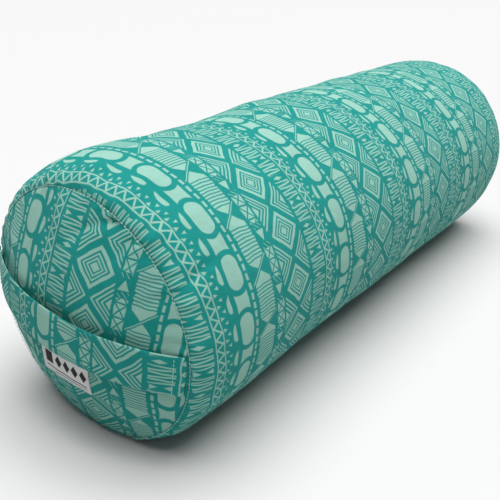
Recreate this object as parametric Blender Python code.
"""Round bolster pillow: a zipped printed cover over a stuffed inner case, with a carrying strap on one end.

The bolster lies on its side along X. The strap end is at -X and the zip runs along the back, on the +Y side.
The origin is the middle of the flat underside, where the bolster's weight presses it against the floor.
"""

import math

import bmesh
import bpy
from mathutils import Matrix, Vector

# Overall sizes of the filled bolster, in metres.
BARREL_RADIUS = 0.120
BARREL_LENGTH = 0.640  # from one end seam to the other
SEAM_DROP = 0.0135  # the end seams' radius is smaller than the barrel's by this
SHOULDER_LENGTH = 0.050  # the barrel narrows to the seam over this length
END_DOME = 0.028  # how far the filling pushes an end panel out
REST_DEPTH = 0.012  # how far the underside is pressed flat

# Cloth and the room between layers.
COVER_THICKNESS = 0.0010
LINER_THICKNESS = 0.0006
LAYER_GAP = 0.0003
SEAM_THREAD_RADIUS = 0.0003
LINER_END_EASE = 0.0035  # the inner case is shorter than the cover by this at each end
LINER_SEAM_EASE = 0.0030  # and its end seam is smaller by this
FILLING_EASE = 0.0010

# Carrying strap and label on the -X end, turned together about the barrel's axis.
END_ROLL = math.radians(8.5)
STRAP_WIDTH = 0.035
STRAP_DROP = 0.001  # the strap's middle line lies this far below the barrel's axis
STRAP_THICKNESS = 0.0022
STRAP_LIFT = 0.0062  # finger room behind the middle of the strap
STRAP_END_INSET = 0.0035  # from the end seam to the strap's last row of thread
TACK_WIDTH = 0.0020
TACK_HEIGHT = 0.0008
TACK_EDGE = 0.003
TACK_INSET = 0.006
LABEL_WIDTH = 0.054
LABEL_HEIGHT = 0.028
LABEL_THICKNESS = 0.0006
LABEL_DROP = 0.005  # from the strap's lower edge to the label's upper edge
LABEL_SHIFT = -0.003  # the label sits a little to the -Y side
LABEL_STITCH_INSET = 0.0014
LABEL_STITCH_WIDTH = 0.0008
LABEL_STITCH_HEIGHT = 0.0004

# Zip in the barrel's long seam.
ZIP_ANGLE = math.radians(22.5)  # above the horizontal, on the +Y side
ZIP_LENGTH = 0.400
ZIP_END_ROOM = 0.004  # slot beyond the stops
SLOT_WIDTH = 0.010
TAPE_WIDTH = 0.014
TAPE_THICKNESS = 0.0008
TAPE_END = 0.010  # tape beyond the slot at each end
TEETH_WIDTH = 0.0026
TEETH_HEIGHT = 0.0022
TEETH_SPLIT = 0.0003
STITCH_OFFSET = 0.0035  # from the slot's edge to the row of thread
STITCH_WIDTH = 0.0008
STITCH_HEIGHT = 0.0004
STOP_LENGTH = 0.0030
STOP_HEIGHT = 0.0028
SLIDER_LENGTH = 0.0120
SLIDER_WALL = 0.0010
SLIDER_CLEARANCE = 0.0003
CROWN_WIDTH = 0.0024
CROWN_LENGTH = 0.0080
CROWN_RISE = 0.0032
CROWN_WALL = 0.0012
PULL_LENGTH = 0.0280
PULL_WIDTH = 0.0074
PULL_THICKNESS = 0.0012
PULL_BAR_RADIUS = 0.0005
PULL_WINDOW_LENGTH = 0.0062
PULL_WINDOW_WIDTH = 0.0038

# Smoothness of the round pieces.
ROUND_STEPS = 44
SHOULDER_STEPS = 5
DOME_STEPS = 4
STRAP_STEPS = 24

AXIS_HEIGHT = BARREL_RADIUS - REST_DEPTH
SEAM_RADIUS = BARREL_RADIUS - SEAM_DROP
HALF_LENGTH = BARREL_LENGTH / 2
COVER_INNER_RADIUS = BARREL_RADIUS - COVER_THICKNESS
LINER_RADIUS = COVER_INNER_RADIUS - TAPE_THICKNESS - 2 * LAYER_GAP

COTTON_TEAL = (0.028, 0.270, 0.240)
CALICO = (0.78, 0.74, 0.64)
FIBRE_WHITE = (0.86, 0.86, 0.83)
LABEL_WHITE = (0.74, 0.74, 0.74)
THREAD_TEAL = (0.100, 0.420, 0.370)
TAPE_TEAL = (0.040, 0.300, 0.270)
NICKEL = (0.62, 0.61, 0.59)


def clear_scene():
    for old in list(bpy.data.objects):
        bpy.data.objects.remove(old, do_unlink=True)


def material(name, colour, roughness, metallic=0.0):
    made = bpy.data.materials.new(name)
    made.use_nodes = True
    shader = made.node_tree.nodes["Principled BSDF"]
    shader.inputs["Base Color"].default_value = (*colour, 1.0)
    shader.inputs["Roughness"].default_value = roughness
    shader.inputs["Metallic"].default_value = metallic
    made.diffuse_color = (*colour, 1.0)
    return made


def add_object(name, mesh_maker, finish, parent=None, smooth=True):
    """One named object from a bmesh, with its faces turned outward."""
    bmesh.ops.recalc_face_normals(mesh_maker, faces=mesh_maker.faces)
    mesh = bpy.data.meshes.new(name)
    mesh_maker.to_mesh(mesh)
    mesh_maker.free()
    if smooth:
        mesh.shade_smooth()
        mesh.set_sharp_from_angle(angle=math.radians(35))
    mesh.materials.append(finish)
    made = bpy.data.objects.new(name, mesh)
    bpy.context.scene.collection.objects.link(made)
    made.parent = parent
    return made


def add_empty(name, place, parent=None):
    made = bpy.data.objects.new(name, None)
    made.empty_display_size = 0.02
    bpy.context.scene.collection.objects.link(made)
    made.parent = parent
    made.matrix_basis = place
    return made


def cut(target, cutter):
    """Takes the cutter's shape out of the target."""
    cutter.hide_render = True
    cutter.display_type = "WIRE"
    modifier = target.modifiers.new("Cut " + cutter.name, "BOOLEAN")
    modifier.operation = "DIFFERENCE"
    modifier.solver = "EXACT"
    modifier.object = cutter


def join(target, other):
    """Makes one body of the target and another shape that it overlaps."""
    other.hide_render = True
    other.display_type = "WIRE"
    modifier = target.modifiers.new("Join " + other.name, "BOOLEAN")
    modifier.operation = "UNION"
    modifier.solver = "EXACT"
    modifier.object = other


def box(low, high):
    """A bmesh block between two corners."""
    made = bmesh.new()
    size = [b - a for a, b in zip(low, high)]
    middle = [(a + b) / 2 for a, b in zip(low, high)]
    place = Matrix.Translation(middle) @ Matrix.Diagonal((*size, 1.0))
    bmesh.ops.create_cube(made, size=1.0, matrix=place)
    return made


# The barrel's cross-section is a circle with two flats: the underside, and a facet that carries the zip.
def round_angles():
    """The directions of the cross-section's corners, from one edge of the zip's facet round to the other."""
    half_width = SLOT_WIDTH / 2 + TAPE_WIDTH
    half_angle = math.atan(half_width / COVER_INNER_RADIUS)
    start = ZIP_ANGLE + half_angle
    sweep = 2 * math.pi - 2 * half_angle
    return [start + sweep * step / ROUND_STEPS for step in range(ROUND_STEPS + 1)]


def facet_apothem(radius):
    """The distance from the axis to the zip's facet on a layer of this radius."""
    half_angle = math.atan((SLOT_WIDTH / 2 + TAPE_WIDTH) / COVER_INNER_RADIUS)
    return radius * math.cos(half_angle)


def ring(made, x, radius, floor):
    """A loop of the cross-section at x, pressed flat at the height called floor."""
    corners = []
    for angle in round_angles():
        height = max(AXIS_HEIGHT + radius * math.sin(angle), floor)
        corners.append(made.verts.new((x, radius * math.cos(angle), height)))
    return corners


def bridge(made, first, second):
    count = len(first)
    for step in range(count):
        after = (step + 1) % count
        made.faces.new((first[step], first[after], second[after], second[step]))


def shoulder_profile(full_radius, seam_radius, half_length, inset=0.0):
    """Points (x, radius) from the -X seam to the +X seam, moved inward by inset along the surface's normal."""
    rise = full_radius - seam_radius
    points = []
    for step in range(SHOULDER_STEPS + 1):
        turn = math.pi / 2 * step / SHOULDER_STEPS
        normal = Vector((-math.cos(turn) / SHOULDER_LENGTH, math.sin(turn) / rise)).normalized()
        x = -half_length + SHOULDER_LENGTH * (1 - math.cos(turn)) - inset * normal.x
        points.append((x, seam_radius + rise * math.sin(turn) - inset * normal.y))
    return points + [(-x, radius) for x, radius in reversed(points)]


def dome_x(radius, seam_radius, rim):
    """How far out along the axis an end panel lies at this distance from its middle."""
    return rim + END_DOME * (1 - (radius / seam_radius) ** 2)


def tube_wall(outer, inner, outer_floor, inner_floor):
    """An open-ended tube of cloth between an outer and an inner profile."""
    made = bmesh.new()
    outer_rings = [ring(made, x, radius, outer_floor) for x, radius in outer]
    inner_rings = [ring(made, x, radius, inner_floor) for x, radius in inner]
    for rings in (outer_rings, inner_rings):
        for first, second in zip(rings, rings[1:]):
            bridge(made, first, second)
    bridge(made, outer_rings[0], inner_rings[0])
    bridge(made, outer_rings[-1], inner_rings[-1])
    return made


def dome_loops(made, seam_radius, rim, side, shift):
    """Loops of an end panel from its rim inward, ending in one middle point."""
    loops = []
    for step in range(DOME_STEPS):
        radius = seam_radius * (1 - step / DOME_STEPS)
        x = side * (dome_x(radius, seam_radius, rim) - shift)
        loops.append(ring(made, x, radius, 0.0))
    middle = made.verts.new((side * (rim + END_DOME - shift), 0.0, AXIS_HEIGHT))
    return loops, middle


def close_dome(made, loops, middle):
    for first, second in zip(loops, loops[1:]):
        bridge(made, first, second)
    last = loops[-1]
    for step in range(len(last)):
        made.faces.new((last[step], last[(step + 1) % len(last)], middle))


def end_panel(seam_radius, rim, thickness, side):
    """A round cloth panel domed out by the filling."""
    made = bmesh.new()
    outer, outer_middle = dome_loops(made, seam_radius, rim, side, 0.0)
    inner, inner_middle = dome_loops(made, seam_radius, rim, side, thickness)
    close_dome(made, outer, outer_middle)
    close_dome(made, inner, inner_middle)
    bridge(made, outer[0], inner[0])
    return made


def filling_body():
    """The stuffing as one solid, a little smaller than the inner case all round."""
    radius = LINER_RADIUS - LINER_THICKNESS - LAYER_GAP
    seam = SEAM_RADIUS - LINER_SEAM_EASE - FILLING_EASE
    half = HALF_LENGTH - LINER_END_EASE - 2 * FILLING_EASE
    floor = COVER_THICKNESS + LINER_THICKNESS + 2 * LAYER_GAP
    made = bmesh.new()
    rings = [ring(made, x, r, floor) for x, r in shoulder_profile(radius, seam, half)]
    for first, second in zip(rings, rings[1:]):
        bridge(made, first, second)
    for side, rim_ring in ((-1, rings[0]), (1, rings[-1])):
        loops, middle = dome_loops(made, seam, half, side, 0.0)
        bmesh.ops.delete(made, geom=loops[0], context="VERTS")
        close_dome(made, [rim_ring] + loops[1:], middle)
    return made


def thread_ring(side):
    """The row of thread that closes an end seam, lying in the groove between the two panels."""
    made = bmesh.new()
    x = side * (HALF_LENGTH - COVER_THICKNESS - LAYER_GAP - SEAM_THREAD_RADIUS)
    loops = []
    for step in range(4):
        turn = math.pi / 2 * step
        radius = SEAM_RADIUS - SEAM_THREAD_RADIUS + SEAM_THREAD_RADIUS * math.cos(turn)
        loops.append(ring(made, x + SEAM_THREAD_RADIUS * math.sin(turn), radius, 0.0))
    for step in range(4):
        bridge(made, loops[step], loops[(step + 1) % 4])
    return made


def make_cover(cotton, thread):
    """The printed cover: a barrel panel and two end panels, with the thread that joins them."""
    edge = HALF_LENGTH - COVER_THICKNESS - 2 * LAYER_GAP - 2 * SEAM_THREAD_RADIUS
    outer = shoulder_profile(BARREL_RADIUS, SEAM_RADIUS, edge)
    inner = shoulder_profile(BARREL_RADIUS, SEAM_RADIUS, edge, COVER_THICKNESS)
    barrel = add_object("cover_barrel", tube_wall(outer, inner, 0.0, COVER_THICKNESS), cotton)
    for name, side in (("near", -1), ("far", 1)):
        panel = end_panel(SEAM_RADIUS, HALF_LENGTH, COVER_THICKNESS, side)
        add_object("cover_end_" + name, panel, cotton)
        add_object("seam_thread_" + name, thread_ring(side), thread)
    return barrel


def make_inner_case(calico, fibre):
    """The plain inner case with its stuffing, which slides out through the zip."""
    seam = SEAM_RADIUS - LINER_SEAM_EASE
    rim = HALF_LENGTH - LINER_END_EASE
    edge = rim - LINER_THICKNESS - LAYER_GAP
    outer = shoulder_profile(LINER_RADIUS, seam, edge)
    inner = shoulder_profile(LINER_RADIUS, seam, edge, LINER_THICKNESS)
    floor = COVER_THICKNESS + LAYER_GAP
    add_object("liner_barrel", tube_wall(outer, inner, floor, floor + LINER_THICKNESS), calico)
    for name, side in (("near", -1), ("far", 1)):
        panel = end_panel(seam, rim, LINER_THICKNESS, side)
        add_object("liner_end_" + name, panel, calico)
    add_object("filling", filling_body(), fibre)


# Pieces on the -X end are made in the frame of an empty at the middle of that end's seam.
# There -X is outward, Y runs along the strap and Z across it.
def end_surface(y, z):
    """The end panel's outer surface at (y, z), as a distance along X from the seam's plane."""
    spread = math.hypot(y, z)
    return -END_DOME * (1 - min(spread / SEAM_RADIUS, 1.0) ** 2)


def strap_reach():
    """Half the strap's length across the end, stopped short of the seam at its corners."""
    corner = STRAP_DROP + STRAP_WIDTH / 2
    return math.sqrt((SEAM_RADIUS - STRAP_END_INSET) ** 2 - corner**2)


def strap_inner_x(y):
    """The strap's inner face: against the end panel at the seam and lifted off it in between."""
    share = min(abs(y) / strap_reach(), 1.0)
    return end_surface(y, 0.0) - LAYER_GAP - STRAP_LIFT * (1 - share**4)


def strap_band(low_y, high_y, half_width, inner_offset, thickness, steps):
    """A flat band that follows the strap's bow, inner_offset outside the strap's inner face."""
    made = bmesh.new()
    loops = []
    for step in range(steps + 1):
        y = low_y + (high_y - low_y) * step / steps
        near = strap_inner_x(y) - inner_offset
        low_z, high_z = -STRAP_DROP - half_width, -STRAP_DROP + half_width
        corners = (
            (near, y, low_z),
            (near, y, high_z),
            (near - thickness, y, high_z),
            (near - thickness, y, low_z),
        )
        loops.append([made.verts.new(corner) for corner in corners])
    for first, second in zip(loops, loops[1:]):
        bridge(made, first, second)
    made.faces.new(loops[0])
    made.faces.new(loops[-1])
    return made


def make_strap(end_frame, cotton, thread):
    reach = strap_reach()
    band = strap_band(-reach, reach, STRAP_WIDTH / 2, 0.0, STRAP_THICKNESS, STRAP_STEPS)
    add_object("handle_strap", band, cotton, end_frame)
    half = STRAP_WIDTH / 2 - TACK_EDGE
    above = STRAP_THICKNESS + LAYER_GAP
    for name, side in (("front", -1), ("back", 1)):
        middle = side * (reach - TACK_INSET)
        low, high = middle - TACK_WIDTH / 2, middle + TACK_WIDTH / 2
        tack = strap_band(low, high, half, above, TACK_HEIGHT, 1)
        add_object("handle_tack_" + name, tack, thread, end_frame)


def curved_sheet(y_lines, z_lines, lift, thickness):
    """A closed sheet that follows the end panel, lift outside its surface."""
    made = bmesh.new()
    layers = []
    for depth in (lift, lift + thickness):
        rows = []
        for z in z_lines:
            rows.append([made.verts.new((end_surface(y, z) - depth, y, z)) for y in y_lines])
        layers.append(rows)
    for rows in layers:
        for low, high in zip(rows, rows[1:]):
            for step in range(len(low) - 1):
                made.faces.new((low[step], low[step + 1], high[step + 1], high[step]))
    outlines = []
    for rows in layers:
        outline = rows[0] + [row[-1] for row in rows[1:]] + rows[-1][-2::-1]
        outlines.append(outline + [row[0] for row in rows[-2:0:-1]])
    bridge(made, outlines[0], outlines[1])
    return made


def even_lines(low, high, steps):
    return [low + (high - low) * step / steps for step in range(steps + 1)]


def label_middle():
    """The height of the label's middle, just below the strap's lower edge."""
    return -(STRAP_DROP + STRAP_WIDTH / 2 + LABEL_DROP + LABEL_HEIGHT / 2)


def label_stitch_frame(label_top_lift):
    """The row of thread round the label's edge, as one closed four-sided band."""
    middle = label_middle()
    half_y = LABEL_WIDTH / 2 - LABEL_STITCH_INSET
    half_z = LABEL_HEIGHT / 2 - LABEL_STITCH_INSET
    made = bmesh.new()
    steps = 4
    loops = []
    for inward, depth in ((0, 0), (LABEL_STITCH_WIDTH, 0), (LABEL_STITCH_WIDTH, 1), (0, 1)):
        lift = label_top_lift + depth * LABEL_STITCH_HEIGHT
        y_lines = even_lines(LABEL_SHIFT - half_y + inward, LABEL_SHIFT + half_y - inward, steps)
        z_lines = even_lines(middle - half_z + inward, middle + half_z - inward, steps)
        outline = [(y, z_lines[0]) for y in y_lines] + [(y_lines[-1], z) for z in z_lines[1:]]
        outline += [(y, z_lines[-1]) for y in y_lines[-2::-1]]
        outline += [(y_lines[0], z) for z in z_lines[-2:0:-1]]
        loops.append([made.verts.new((end_surface(y, z) - lift, y, z)) for y, z in outline])
    for step in range(4):
        bridge(made, loops[step], loops[(step + 1) % 4])
    return made


def make_label(end_frame, woven, thread):
    middle = label_middle()
    y_lines = even_lines(LABEL_SHIFT - LABEL_WIDTH / 2, LABEL_SHIFT + LABEL_WIDTH / 2, 8)
    z_lines = even_lines(middle - LABEL_HEIGHT / 2, middle + LABEL_HEIGHT / 2, 4)
    sheet = curved_sheet(y_lines, z_lines, LAYER_GAP, LABEL_THICKNESS)
    add_object("label", sheet, woven, end_frame)
    top = 2 * LAYER_GAP + LABEL_THICKNESS
    add_object("label_stitching", label_stitch_frame(top), thread, end_frame)


# Zip pieces are made in the frame of an empty on the zip's facet, at the cover's outer surface.
# There X runs along the zip, Y round the barrel and Z outward.
def tape_top():
    return -COVER_THICKNESS - LAYER_GAP


def teeth_base():
    return tape_top() + LAYER_GAP


def teeth_top():
    return teeth_base() + TEETH_HEIGHT


def make_zip_slot(barrel, zip_frame):
    reach = ZIP_LENGTH / 2 + ZIP_END_ROOM
    depth = COVER_THICKNESS * 3
    shape = box((-reach, -SLOT_WIDTH / 2, -depth), (reach, SLOT_WIDTH / 2, depth))
    cut(barrel, add_object("zip_slot", shape, barrel.data.materials[0], zip_frame, False))


def make_zip_chain(zip_frame, tape, teeth, thread, metal):
    """Two tapes with their rows of teeth, the thread that sews them in, and the end stops."""
    reach = ZIP_LENGTH / 2 + ZIP_END_ROOM + TAPE_END
    chain = ZIP_LENGTH / 2 - STOP_LENGTH - LAYER_GAP
    for name, side in (("upper", 1), ("lower", -1)):
        near, far = TEETH_SPLIT / 2, SLOT_WIDTH / 2 + TAPE_WIDTH - STITCH_OFFSET
        sheet = side_box(side, reach, near, far, tape_top() - TAPE_THICKNESS, tape_top())
        add_object("zip_tape_" + name, sheet, tape, zip_frame, False)
        row = side_box(side, chain, near, near + TEETH_WIDTH, teeth_base(), teeth_top())
        add_object("zip_teeth_" + name, row, teeth, zip_frame, False)
        near = SLOT_WIDTH / 2 + STITCH_OFFSET
        low = LAYER_GAP
        row = side_box(side, reach, near, near + STITCH_WIDTH, low, low + STITCH_HEIGHT)
        add_object("zip_stitching_" + name, row, thread, zip_frame, False)
        near = TEETH_SPLIT / 2
        low_x, high_x = -ZIP_LENGTH / 2, -ZIP_LENGTH / 2 + STOP_LENGTH
        ends = sorted((side * near, side * (near + TEETH_WIDTH)))
        stop = box((low_x, ends[0], teeth_base()), (high_x, ends[1], teeth_base() + STOP_HEIGHT))
        add_object("zip_top_stop_" + name, stop, metal, zip_frame, False)
    half = TEETH_SPLIT / 2 + TEETH_WIDTH
    low_x, high_x = ZIP_LENGTH / 2 - STOP_LENGTH, ZIP_LENGTH / 2
    stop = box((low_x, -half, teeth_base()), (high_x, half, teeth_base() + STOP_HEIGHT))
    add_object("zip_bottom_stop", stop, metal, zip_frame, False)


def side_box(side, reach, near, far, low_z, high_z):
    """A long strip on one side of the zip's middle line."""
    ends = sorted((side * near, side * far))
    return box((-reach, ends[0], low_z), (reach, ends[1], high_z))


def slider_rest_x():
    """The closed zip's slider stands against the top stops."""
    return -ZIP_LENGTH / 2 + STOP_LENGTH + LAYER_GAP + SLIDER_LENGTH / 2


def make_slider(slider_frame, metal):
    """A channel that wraps the teeth, with a crown on top that holds the pull."""
    half = TEETH_SPLIT / 2 + TEETH_WIDTH + SLIDER_CLEARANCE + SLIDER_WALL
    roof = teeth_top() + SLIDER_CLEARANCE
    foot = teeth_base()
    outline = (
        (-half, foot),
        (-half, roof + SLIDER_WALL),
        (half, roof + SLIDER_WALL),
        (half, foot),
        (half - SLIDER_WALL, foot),
        (half - SLIDER_WALL, roof),
        (-half + SLIDER_WALL, roof),
        (-half + SLIDER_WALL, foot),
    )
    made = bmesh.new()
    loops = []
    for x in (-SLIDER_LENGTH / 2, SLIDER_LENGTH / 2):
        loops.append([made.verts.new((x, y, z)) for y, z in outline])
    bridge(made, loops[0], loops[1])
    made.faces.new(loops[0])
    made.faces.new(loops[1])
    slider = add_object("zip_slider", made, metal, slider_frame, False)
    join(slider, make_crown(slider_frame, metal, roof + SLIDER_WALL))


def make_crown(slider_frame, metal, top):
    """The arch on the slider, seen from the side as an upside-down U, its feet sunk in the slider."""
    reach = CROWN_LENGTH / 2
    sunk = top - SLIDER_WALL / 2
    outline = (
        (-reach, sunk),
        (-reach, top + CROWN_RISE - CROWN_WALL / 2),
        (-reach + CROWN_WALL, top + CROWN_RISE),
        (reach - CROWN_WALL, top + CROWN_RISE),
        (reach, top + CROWN_RISE - CROWN_WALL / 2),
        (reach, sunk),
        (reach - CROWN_WALL, sunk),
        (reach - CROWN_WALL, top + CROWN_RISE - CROWN_WALL),
        (-reach + CROWN_WALL, top + CROWN_RISE - CROWN_WALL),
        (-reach + CROWN_WALL, sunk),
    )
    made = bmesh.new()
    loops = []
    for y in (-CROWN_WIDTH / 2, CROWN_WIDTH / 2):
        loops.append([made.verts.new((x, y, z)) for x, z in outline])
    bridge(made, loops[0], loops[1])
    made.faces.new(loops[0])
    made.faces.new(loops[1])
    return add_object("zip_slider_crown", made, metal, slider_frame, False)


def pull_height():
    """The height of the pull's hinge bar, halfway up the crown's opening."""
    top = teeth_top() + SLIDER_CLEARANCE + SLIDER_WALL
    return top + (CROWN_RISE - CROWN_WALL) / 2


def make_pull(pull_frame, metal):
    """A flat tab whose window lets the crown through; its bar is the hinge."""
    half_width, half_thick = PULL_WIDTH / 2, PULL_THICKNESS / 2
    start = -PULL_BAR_RADIUS
    end = start + PULL_LENGTH
    taper = PULL_WIDTH / 8
    outline = (
        (start, -half_width),
        (end - half_width, -half_width),
        (end - taper, -half_width + taper),
        (end, -taper),
        (end, taper),
        (end - taper, half_width - taper),
        (end - half_width, half_width),
        (start, half_width),
    )
    made = bmesh.new()
    loops = []
    for z in (-half_thick, half_thick):
        loops.append([made.verts.new((x, y, z)) for x, y in outline])
    bridge(made, loops[0], loops[1])
    made.faces.new(loops[0])
    made.faces.new(loops[1])
    pull = add_object("zip_pull", made, metal, pull_frame, False)
    window_start = PULL_BAR_RADIUS
    half_window = PULL_WINDOW_WIDTH / 2
    low = (window_start, -half_window, -PULL_THICKNESS)
    high = (window_start + PULL_WINDOW_LENGTH, half_window, PULL_THICKNESS)
    cut(pull, add_object("zip_pull_window", box(low, high), metal, pull_frame, False))


def main():
    clear_scene()
    cotton = material("printed cotton", COTTON_TEAL, 0.85)
    calico = material("calico", CALICO, 0.90)
    fibre = material("polyester fibre", FIBRE_WHITE, 0.95)
    woven = material("woven label", LABEL_WHITE, 0.70)
    thread = material("sewing thread", THREAD_TEAL, 0.60)
    tape = material("zip tape", TAPE_TEAL, 0.80)
    teeth = material("nylon teeth", TAPE_TEAL, 0.40)
    metal = material("nickel plate", NICKEL, 0.28, 1.0)

    barrel = make_cover(cotton, thread)
    make_inner_case(calico, fibre)

    end_place = Matrix.Translation((-HALF_LENGTH, 0.0, AXIS_HEIGHT)) @ Matrix.Rotation(END_ROLL, 4, "X")
    end_frame = add_empty("near_end_frame", end_place)
    make_strap(end_frame, cotton, thread)
    make_label(end_frame, woven, thread)

    # The frame's Z leans back from straight up to the facet's outward direction.
    lean = Matrix.Rotation(ZIP_ANGLE - math.pi / 2, 4, "X")
    out = facet_apothem(BARREL_RADIUS)
    facet = Vector((0.0, out * math.cos(ZIP_ANGLE), AXIS_HEIGHT + out * math.sin(ZIP_ANGLE)))
    zip_frame = add_empty("zip_frame", Matrix.Translation(facet) @ lean)
    make_zip_slot(barrel, zip_frame)
    make_zip_chain(zip_frame, tape, teeth, thread, metal)
    slider_frame = add_empty("slider_frame", Matrix.Translation((slider_rest_x(), 0.0, 0.0)), zip_frame)
    make_slider(slider_frame, metal)
    pull_frame = add_empty("pull_frame", Matrix.Translation((0.0, 0.0, pull_height())), slider_frame)
    make_pull(pull_frame, metal)


main()
